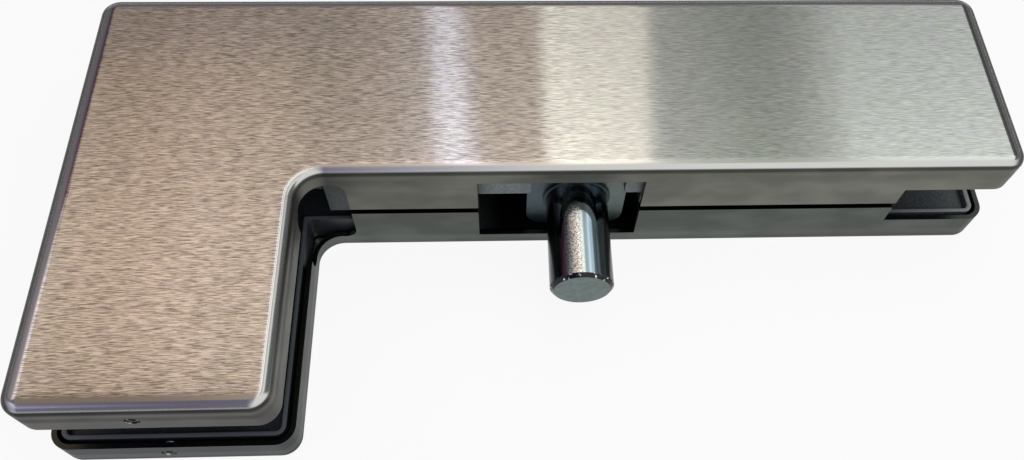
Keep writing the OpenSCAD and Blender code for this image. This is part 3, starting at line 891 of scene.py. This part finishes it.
def cast_aluminium():
    paint = Paint("die cast aluminium", Metallic=0.85)
    skin = paint.noise((0.7 * MM, 0.7 * MM, 0.7 * MM), 4, 0.6)
    flow = paint.noise((9 * MM, 5 * MM, 5 * MM), 3, 0.5)
    colour = paint.blend(skin.step(0.3, 0.7), CAST_DARK, CAST_LIGHT)
    # Beside the pivot: painted light on the apron, and painted shade behind it and below the seam.
    from_pivot = abs(paint.axis("Object", "X") - pin_axis.x).step(*PIVOT_SIDES)
    lower = 1 - paint.axis("Object", "Z").step(SEAM[0], MIDDLE.z)
    inside = paint.axis("Object", "Y").step(*BEHIND_APRON).at_least(lower)
    colour = paint.blend(flow.step(0.4, 0.7) * 0.5, colour, CAST_FLOW)
    light_and_shade_at_pivot = paint.blend(inside, APRON_PAINTED_LIGHT, INSIDE_PAINTED_SHADE)
    paint.feed(Base_Color=paint.tint(colour, paint.blend(from_pivot, light_and_shade_at_pivot, NO_TINT)),
               Roughness=0.42 + skin * 0.2)
    paint.relief(skin, SKIN_DEPTH, 0.5)
    return paint


cast = cast_aluminium()
print("casting nodes:", len(cast.tree.nodes))

# %% Mouldings and foam
LINER_DARK = (0.012, 0.015, 0.020)
LINER_LIGHT = (0.034, 0.040, 0.050)
# Painted highlight on the lip, and painted light towards the arm's end.
LIP_HIGHLIGHT = (0.10, 0.112, 0.125)
LIT_END_DARK = (0.060, 0.067, 0.070)
LIT_END_LIGHT = (0.150, 0.165, 0.172)
LIT_END_LIP = (0.30, 0.32, 0.33)
LIP_TOP = (0.15 * MM, 0.45 * MM)
LIT_END_SPAN = (HIGH.x - 34 * MM, HIGH.x - 10 * MM)
CELL_DEPTH = 1e-4    # metres


def moulded_black():
    paint = Paint("moulded liner", Metallic=0.0)
    grain = paint.noise((0.35 * MM, 0.35 * MM, 0.35 * MM), 3, 0.6)
    # The lip top is painted paler, a painted highlight, and towards the arm's end every tone is painted
    # lighter, as painted light.
    from_lip = abs(abs(paint.axis("Object", "Z") - MIDDLE.z) - LIP_HEIGHT)
    lip = (1 - from_lip.step(*LIP_TOP)) * abs(paint.axis("Normal", "Z")).step(0.80, 0.95)
    lit_end = paint.axis("Object", "X").step(*LIT_END_SPAN)
    dark = paint.blend(lit_end, LINER_DARK, LIT_END_DARK)
    light = paint.blend(lit_end, LINER_LIGHT, LIT_END_LIGHT)
    lip_highlight = paint.blend(lit_end, LIP_HIGHLIGHT, LIT_END_LIP)
    paint.feed(Base_Color=paint.blend(lip, paint.blend(grain.step(0.4, 0.7), dark, light), lip_highlight),
               Roughness=0.36 + grain * 0.2 - lip * 0.12)
    paint.relief(grain, SKIN_DEPTH, 0.5)
    return paint


def plain_black():
    paint = Paint("black plastic", Metallic=0.0)
    grain = paint.noise((0.8 * MM, 0.8 * MM, 0.8 * MM), 2, 0.5)
    paint.feed(Base_Color=paint.blend(grain, (0.018, 0.018, 0.02), (0.035, 0.035, 0.037)),
               Roughness=0.4 + grain * 0.15)
    return paint


def foam():
    paint = Paint("closed cell foam", Metallic=0.0)
    cells = paint.noise((0.4 * MM, 0.4 * MM, 0.4 * MM), 3, 0.7)
    paint.feed(Base_Color=paint.blend(cells, (0.02, 0.02, 0.02), (0.07, 0.07, 0.07)),
               Roughness=0.8 + cells * 0.15)
    paint.relief(cells, CELL_DEPTH)
    return paint


moulded, black, sponge = moulded_black(), plain_black(), foam()
print("liner nodes:", len(moulded.tree.nodes))

# %% Plated parts
ZINC_LEFT = (0.072, 0.098, 0.112)
ZINC_RIGHT = (0.130, 0.160, 0.152)
ZINC_CLOUD = (0.85, 0.86, 0.88)
CARRIER_MIDDLE = (pin_axis.x - 8 * MM, pin_axis.x + 8 * MM)


def plated_steel(name, dark, light, dullness):
    paint = Paint(name, Metallic=1.0)
    cloud = paint.noise((1.2 * MM, 1.2 * MM, 1.2 * MM), 3, 0.6)
    paint.feed(Base_Color=paint.blend(cloud, dark, light), Roughness=dullness + cloud * 0.2)
    return paint


def plated_casting():
    paint = Paint("plated zinc casting", Metallic=0.9)
    skin = paint.noise((2.2 * MM, 2.2 * MM, 2.2 * MM), 3, 0.5)
    # Painted reflection: the carrier is darker and bluer on its left than on its right.
    zinc = paint.blend(paint.axis("Object", "X").step(*CARRIER_MIDDLE), ZINC_LEFT, ZINC_RIGHT)
    colour = paint.tint(zinc, paint.blend(skin.step(0.35, 0.65), ZINC_CLOUD, NO_TINT))
    paint.feed(Base_Color=colour, Roughness=0.36 + skin * 0.12)
    paint.relief(skin, SKIN_DEPTH, 0.4)
    return paint


plated = plated_steel("zinc plated steel", (0.52, 0.54, 0.55), (0.80, 0.81, 0.80), 0.16)
dull_end = plated_steel("dull screw end", (0.105, 0.107, 0.102), (0.150, 0.152, 0.145), 0.45)
carrier_metal = plated_casting()
print("carrier nodes:", len(carrier_metal.tree.nodes))

# %% [markdown]
# ## Hard chrome
#
# The pin is ground and chromed. Fine pits run along its top. Its lower sides are painted dark with thin paler
# streaks, a painted reflection of what lies below, and its chamfer is painted dark with painted glints. The
# end is ground flat and grey, and the collar is dull. The normal and the place along the axis tell these zones
# apart.
#
# A round pin squeezes the whole room into narrow stripes. A simple room of light sheets has too few of them,
# so the polish has its own tones across the pin: one row of stops at the end, one at the collar, and a blend.
# They are painted, so they don't wander over the pin when the view changes, as true reflections would.

# %% Tones of the pin
COLLAR_END = face_y - COLLAR_LENGTH
TO_COLLAR = (COLLAR_END - 13 * MM, COLLAR_END - 3 * MM)
PIT = 0.40 * MM
PIT_DEPTH = 5e-5    # metres
PIT_TONE = (0.36, 0.37, 0.40)
LOWER_SIDE_REFLECTION_DARK = (0.022, 0.026, 0.034)
LOWER_SIDE_REFLECTION_LIGHT = (0.075, 0.084, 0.086)
END_DARK = (0.165, 0.205, 0.195)
END_LIGHT = (0.20, 0.245, 0.232)
CHAMFER_REFLECTION_DARK = (0.03, 0.03, 0.035)
CHAMFER_GLINT = (0.7, 0.7, 0.7)
COLLAR_TONE = (0.05, 0.072, 0.068)
# Painted reflections across the pin, in millimetres from its axis: left is negative.
ACROSS_PIN = (-5.2, 5.2)
AT_END = [
    (-5.2, (0.06, 0.06, 0.08)), (-4.2, (0.22, 0.08, 0.13)), (-3.5, (0.30, 0.37, 0.38)),
    (-2.8, (0.35, 0.41, 0.44)), (-2.1, (0.61, 0.72, 0.80)), (-1.4, (0.98, 1.0, 1.0)),
    (-0.75, (0.92, 1.0, 0.98)), (-0.05, (0.55, 0.59, 0.56)), (0.6, (0.40, 0.52, 0.58)),
    (1.3, (0.66, 0.78, 0.90)), (2.0, (0.32, 0.41, 0.49)), (2.7, (0.49, 0.63, 0.71)),
    (3.3, (0.56, 0.74, 0.82)), (4.0, (0.13, 0.18, 0.19)), (5.2, (0.16, 0.21, 0.23)),
]
AT_COLLAR = [
    (-5.2, (0.10, 0.12, 0.15)), (-3.3, (0.95, 0.98, 1.0)), (-1.9, (0.83, 1.0, 1.0)),
    (-1.1, (0.48, 0.60, 0.71)), (-0.4, (0.48, 0.56, 0.56)), (0.3, (0.34, 0.37, 0.38)),
    (1.0, (0.27, 0.38, 0.47)), (1.7, (0.70, 0.77, 0.88)), (2.4, (0.55, 0.64, 0.74)),
    (3.1, (0.20, 0.29, 0.36)), (3.9, (0.20, 0.30, 0.40)), (5.2, (0.10, 0.13, 0.15)),
]
print("stops across the pin:", len(AT_END), "at the end,", len(AT_COLLAR), "at the collar")

# %% Chromed pin
def chrome():
    paint = Paint("chromed steel", Metallic=1.0)
    up = paint.axis("Normal", "Z")
    front = paint.axis("Normal", "Y") * -1
    pits = paint.noise((PIT, PIT, PIT), 2, 0.7)
    across = (paint.axis("Object", "X") - pin_axis.x) / MM
    to_collar = paint.axis("Object", "Y").step(*TO_COLLAR)
    speckled = across.step(-4.5, -3.5) * (1 - across.step(-1.0, 0.6))
    speck = pits.step(0.46, 0.58) * speckled
    # Painted reflection: the lower sides are dark, with thin paler streaks along the pin.
    reflected_streaks = paint.noise((0.6 * MM, 60 * MM, 0.6 * MM), 1, 0.5).step(0.46, 0.62)
    lower_sides = 1 - up.step(0.62, 0.76)
    at_end = paint.ramp(across, ACROSS_PIN, AT_END)
    at_collar = paint.ramp(across, ACROSS_PIN, AT_COLLAR)
    bright = paint.blend(to_collar, at_end, at_collar)
    bright = paint.tint(bright, paint.blend(speck, NO_TINT, PIT_TONE))
    dark = paint.blend(reflected_streaks, LOWER_SIDE_REFLECTION_DARK, LOWER_SIDE_REFLECTION_LIGHT)
    length = paint.blend(lower_sides, bright, dark)
    ground_end = front.step(0.80, 0.95)
    # Painted reflection on the chamfer: dark, with painted glints.
    chamfer = front.step(0.25, 0.45) - ground_end
    blotch = paint.noise((1.6 * MM, 1.6 * MM, 1.6 * MM), 3, 0.5)
    end = paint.blend(blotch.step(0.35, 0.65), END_DARK, END_LIGHT)
    glint = paint.noise((0.8 * MM, 0.8 * MM, 0.8 * MM), 1, 0.5).step(0.62, 0.68)
    chamfer_reflection = paint.blend(glint, CHAMFER_REFLECTION_DARK, CHAMFER_GLINT)
    collar = paint.axis("Object", "Y").step(COLLAR_END - 0.1 * MM, COLLAR_END + 0.02 * MM)
    colour = paint.blend(chamfer, paint.blend(ground_end, length, end), chamfer_reflection)
    paint.feed(Base_Color=paint.blend(collar, colour, COLLAR_TONE),
               Roughness=(0.05 + pits * 0.06 + lower_sides * 0.15 + ground_end * 0.4).at_least(collar * 0.3))
    paint.relief(pits * (speckled * 0.9 + 0.1), PIT_DEPTH, 0.6)
    return paint


chromed = chrome()
chromed.coat(pin)
print("chrome nodes:", len(chromed.tree.nodes))

# %% [markdown]
# Each piece takes one material, and those that stay as packed need nothing else. Only a cover screw has two:
# a bright thread, and a dull end whose faces are picked by their place.

# %% Put the materials on
nodes = frame["nodes"]
cast.coat(soft["rear_body"], soft["front_body"])
moulded.coat(soft["rear_liner"], soft["front_liner"])
carrier_metal.coat(soft["pivot_carrier"])
threads = [bpy.data.objects[name] for name in ("rear_threads", "front_threads")]
plated.coat(*threads)
plated.coat(*[nodes[name] for name in ("clamp_inserts", "guide_dowels", "lock_insert", "lock_screw",
                                       "lock_washer", "clamp_screws", "pin_set_screw")])
black.coat(nodes["rear_post_sleeves"], nodes["front_post_sleeves"], nodes["edge_blocks"])
sponge.coat(nodes["rear_cover_pads"], nodes["front_cover_pads"])

for piece in threads:
    piece.data.materials.append(dull_end.material)
    edit(piece)
    bare = pick_parts(piece, "FACE", lambda f: f.calc_center_median().y < LOW.y + SCREW_RADIUS + PASS_GAP
                      or f.calc_center_median().x > HIGH.x - SCREW_RADIUS - PASS_GAP)
    piece.active_material_index = 1
    bpy.ops.object.material_slot_assign()
    leave_edit()
    print(piece.name, "dull faces:", bare)

# %% [markdown]
# ## The room
#
# A plain pale floor, a large soft sheet of light overhead, and three smaller sheets at its near side and
# left. Polished and satin metal are mirrors of the room, so a sheet of one even tone would make them look
# like grey paint. The overhead sheet is warm on the left and cool on the right, with two brighter strips that
# fan out towards the far side, as a shop ceiling is, and on the left it dims towards the near side. Lamps
# would be simpler, but a lamp shows in metal as one plain shape.

# %% The floor
FLOOR_GLOW = 0.9
FLOOR_REACH = 20
FLOOR_DROP = 0.1 * MM


def stage_plane(name, low, high, z):
    bpy.ops.mesh.primitive_plane_add(size=1, location=((low[0] + high[0]) / 2, (low[1] + high[1]) / 2, z))
    bpy.context.object.scale = (high[0] - low[0], high[1] - low[1], 1)
    piece = settle(bpy.context.object, name)
    return piece


def pale_floor():
    """Diffuse, with part of its white given to the rays that see it, so that its shadows stay soft."""
    paint = Paint("pale floor", Roughness=0.9)
    paint.surface.inputs["Base Color"].default_value = (0.88, 0.88, 0.88, 1)
    seen = [paint.node("ShaderNodeLightPath", output=name)
            for name in ("Is Camera Ray", "Is Glossy Ray", "Is Transmission Ray")]
    white = paint.node("ShaderNodeEmission", {}, {"Color": (1, 1, 1, 1), "Strength": 1.0})
    mixed = paint.node("ShaderNodeMixShader", {}, {0: (seen[0] + seen[1] + seen[2]) * FLOOR_GLOW,
                                                   1: Wire(paint, paint.surface.outputs[0]), 2: white})
    paint.tree.links.new(mixed.socket, paint.tree.nodes["Material Output"].inputs["Surface"])
    return paint


floor = stage_plane("floor", (-FLOOR_REACH, -FLOOR_REACH), (FLOOR_REACH, FLOOR_REACH), LOW.z - FLOOR_DROP)
pale_floor().coat(floor)

# %% The ceiling's size and tones
# Metres, with the tones as stops along X, along Y, and along Y at the left.
CEILING_Z = 0.75
CEILING_X = (-1.3, 1.3)
CEILING_Y = (-0.15, 1.4)
ACROSS = [
    (-1.30, (0.25, 0.23, 0.26)),
    (-1.00, (0.30, 0.27, 0.30)),
    (-0.86, (0.20, 0.14, 0.18)),
    (-0.74, (0.12, 0.05, 0.07)),
    (-0.64, (0.52, 0.42, 0.39)),
    (-0.56, (0.62, 0.50, 0.41)),
    (-0.48, (0.57, 0.44, 0.345)),
    (-0.408, (0.63, 0.485, 0.39)),
    (-0.371, (0.67, 0.525, 0.43)),
    (-0.28, (0.64, 0.515, 0.42)),
    (-0.226, (0.55, 0.455, 0.38)),
    (-0.153, (0.62, 0.515, 0.445)),
    (-0.117, (0.66, 0.57, 0.515)),
    (-0.096, (0.70, 0.61, 0.56)),
    (-0.088, (1.15, 1.10, 1.18)),
    (-0.058, (1.15, 1.10, 1.18)),
    (-0.046, (0.80, 0.71, 0.70)),
    (-0.030, (0.70, 0.60, 0.52)),
    (0.040, (0.70, 0.60, 0.52)),
    (0.050, (1.27, 1.22, 1.10)),
    (0.176, (1.15, 1.11, 1.00)),
    (0.186, (0.57, 0.59, 0.56)),
    (0.25, (0.50, 0.527, 0.49)),
    (0.29, (0.44, 0.474, 0.433)),
    (0.33, (0.42, 0.454, 0.413)),
    (0.365, (0.475, 0.496, 0.468)),
    (0.40, (0.605, 0.64, 0.598)),
    (0.435, (0.79, 0.85, 0.81)),
    (0.60, (0.85, 0.91, 0.88)),
    (0.68, (0.78, 0.84, 0.82)),
    (0.80, (0.16, 0.17, 0.17)),
    (1.30, (0.07, 0.08, 0.08)),
]
ALONG = [(-0.15, 1.4), (0.20, 1.55), (0.31, 1.5), (0.40, 1.38), (0.495, 1.18), (0.585, 1.0), (0.72, 0.82),
         (1.4, 0.6)]
LEFT_ALONG = [(-0.15, 0.35), (0.05, 0.42), (0.20, 0.68), (0.24, 0.86), (0.31, 0.93), (0.40, 1.0), (0.62, 1.0),
              (0.70, (0.80, 0.83, 0.90)), (1.4, (0.80, 0.83, 0.90))]
LEFT_END = (-0.35, -0.10)
STRIP_MIDDLE = 0.05
STRIP_REACH = 0.13
STRIP_FAN = 0.6     # how much the strips widen per metre
STRIP_TRUE = 0.6    # where along Y the strips are as wide as their stops say
print("ceiling:", len(ACROSS), "stops across and", len(ALONG), "along")

# %% The smaller sheets
FRONT_X = (-0.45, 0.95)
FRONT_Y = (-0.9, -0.15)
FRONT_ACROSS = [
    (-0.45, (0.13, 0.12, 0.18)),
    (-0.22, (0.15, 0.14, 0.21)),
    (-0.17, (0.48, 0.48, 0.60)),
    (-0.08, (0.55, 0.55, 0.68)),
    (-0.02, (0.92, 0.94, 0.98)),
    (0.05, (1.10, 1.13, 1.12)),
    (0.95, (1.10, 1.13, 1.12)),
]
CORNER_X = (-1.3, -0.45)
CORNER_Y = (-1.0, -0.15)
CORNER_ACROSS = [(-1.3, (1.0, 1.0, 1.3)), (-0.80, (1.0, 1.0, 1.3)), (-0.62, (0.35, 0.36, 0.52)),
                 (-0.45, (0.13, 0.12, 0.18))]
SIDE_STRIP_Z = CEILING_Z - 0.01
SIDE_STRIP_X = (-0.90, -0.57)
SIDE_STRIP_Y = (0.05, 0.5)
SIDE_STRIP_GLOW = [(-0.90, (0.35, 0.31, 0.34)), (-0.77, (1.15, 1.03, 1.04)), (-0.68, (1.15, 1.03, 1.04)),
                   (-0.57, (0.55, 0.45, 0.38))]
SIDE_STRIP_FADE = [(0.05, 1.0), (0.38, 1.0), (0.5, 0.4)]
print("side strip in metres:", round(SIDE_STRIP_X[1] - SIDE_STRIP_X[0], 2), "wide")

# %% [markdown]
# A sheet is a plane that only glows. Its tone is a ramp along X times a ramp along Y, so a few stops paint
# it, and no image is needed.

# %% The sheets of light
def light_sheet(name, z, span_x, span_y, across, along=None, left_along=None):
    piece = stage_plane(name, (span_x[0], span_y[0]), (span_x[1], span_y[1]), z)
    glow = Paint(name + " glow", Roughness=1.0)
    glow.surface.inputs["Base Color"].default_value = (0, 0, 0, 1)
    glow.surface.inputs["Specular IOR Level"].default_value = 0
    glow.surface.inputs["Emission Strength"].default_value = 1.0
    from_left, from_near = glow.axis("Object", "X"), glow.axis("Object", "Y")
    if left_along:
        aside = (from_left - STRIP_MIDDLE).at_least(-STRIP_REACH).at_most(STRIP_REACH)
        tone = glow.ramp(from_left - aside * (from_near - STRIP_TRUE) * STRIP_FAN, span_x, across)
    else:
        tone = glow.ramp(from_left, span_x, across)
    if along:
        tone = glow.tint(tone, glow.ramp(from_near, span_y, along))
    if left_along:
        left = 1 - from_left.step(*LEFT_END)
        tone = glow.tint(tone, glow.blend(left, NO_TINT, glow.ramp(from_near, span_y, left_along)))
    glow.feed(Emission_Color=tone)
    glow.coat(piece)
    return piece


sheets = [
    light_sheet("ceiling", CEILING_Z, CEILING_X, CEILING_Y, ACROSS, ALONG, LEFT_ALONG),
    light_sheet("front_light", CEILING_Z, FRONT_X, FRONT_Y, FRONT_ACROSS),
    light_sheet("corner_light", CEILING_Z, CORNER_X, CORNER_Y, CORNER_ACROSS),
    light_sheet("side_strip", SIDE_STRIP_Z, SIDE_STRIP_X, SIDE_STRIP_Y, SIDE_STRIP_GLOW, SIDE_STRIP_FADE),
]
print("sheets of light:", [sheet.name for sheet in sheets])

# %% [markdown]
# What no sheet covers is the world itself: dim at the back, and at the front the tones of the near sheets.

# %% The rest of the room
ROOM_BACK = [(0.0, (0.10, 0.105, 0.12)), (0.5, (0.24, 0.24, 0.25))]
ROOM_FRONT = [
    (-1.0, (0.80, 0.80, 1.05)),
    (-0.60, (0.50, 0.50, 0.70)),
    (-0.45, (0.13, 0.12, 0.18)),
    (-0.22, (0.15, 0.14, 0.21)),
    (-0.16, (0.48, 0.48, 0.60)),
    (-0.08, (0.55, 0.55, 0.68)),
    (-0.02, (0.92, 0.94, 0.98)),
    (0.05, (1.10, 1.13, 1.12)),
    (1.0, (1.10, 1.13, 1.12)),
]


class Sky(Paint):
    """The world's own net, with the same short way to add nodes."""

    def __init__(self, name):
        world = bpy.data.worlds.new(name)
        world.use_nodes = True
        bpy.context.scene.world = world
        self.tree = world.node_tree
        self.surface = self.tree.nodes["Background"]


sky = Sky("room")
front = (sky.axis("Generated", "Y") * -1).step(0.0, 0.12)
sky.feed(Color=sky.blend(front, sky.ramp(sky.axis("Generated", "Z"), (0.0, 0.5), ROOM_BACK),
                         sky.ramp(sky.axis("Generated", "X"), (-1.0, 1.0), ROOM_FRONT)))
print("world nodes:", len(sky.tree.nodes))

# %% [markdown]
# ## The camera
#
# It looks down on the face from the pin's side, a little from the left and slightly rolled. It stands close
# by, which is why the leg's end looks so much larger than the arm's far edge.

# %% Camera
AZIMUTH = math.radians(-4.605)
ELEVATION = math.radians(61.36)
ROLL = math.radians(3.27)
DISTANCE = 211.9 * MM
AIM = MIDDLE + Vector((-4.7, -10.4, 0)) * MM
SENSOR_WIDTH = 36
FOCAL_LENGTH = 31.41
SHIFT = (-0.0204, 0.0204)
NEAREST = 10 * MM

forward = Vector((-math.sin(AZIMUTH) * math.cos(ELEVATION), math.cos(AZIMUTH) * math.cos(ELEVATION),
                  -math.sin(ELEVATION)))
lens = bpy.data.cameras.new("camera")
lens.sensor_width = SENSOR_WIDTH
lens.lens = FOCAL_LENGTH
lens.shift_x, lens.shift_y = SHIFT
lens.clip_start = NEAREST
camera = bpy.data.objects.new("camera", lens)
bpy.context.collection.objects.link(camera)
level = forward.cross(Vector((0, 0, 1))).normalized()
upright = level.cross(forward)
right = level * math.cos(ROLL) + upright * math.sin(ROLL)
up = upright * math.cos(ROLL) - level * math.sin(ROLL)
camera.location = AIM - forward * DISTANCE
camera.rotation_mode = "QUATERNION"
camera.rotation_quaternion = Matrix((right, up, -forward)).transposed().to_quaternion()
bpy.context.scene.camera = camera
bpy.context.scene.view_settings.view_transform = "Standard"
print("camera at", [round(v, 4) for v in camera.location], "right", [round(v, 4) for v in right])
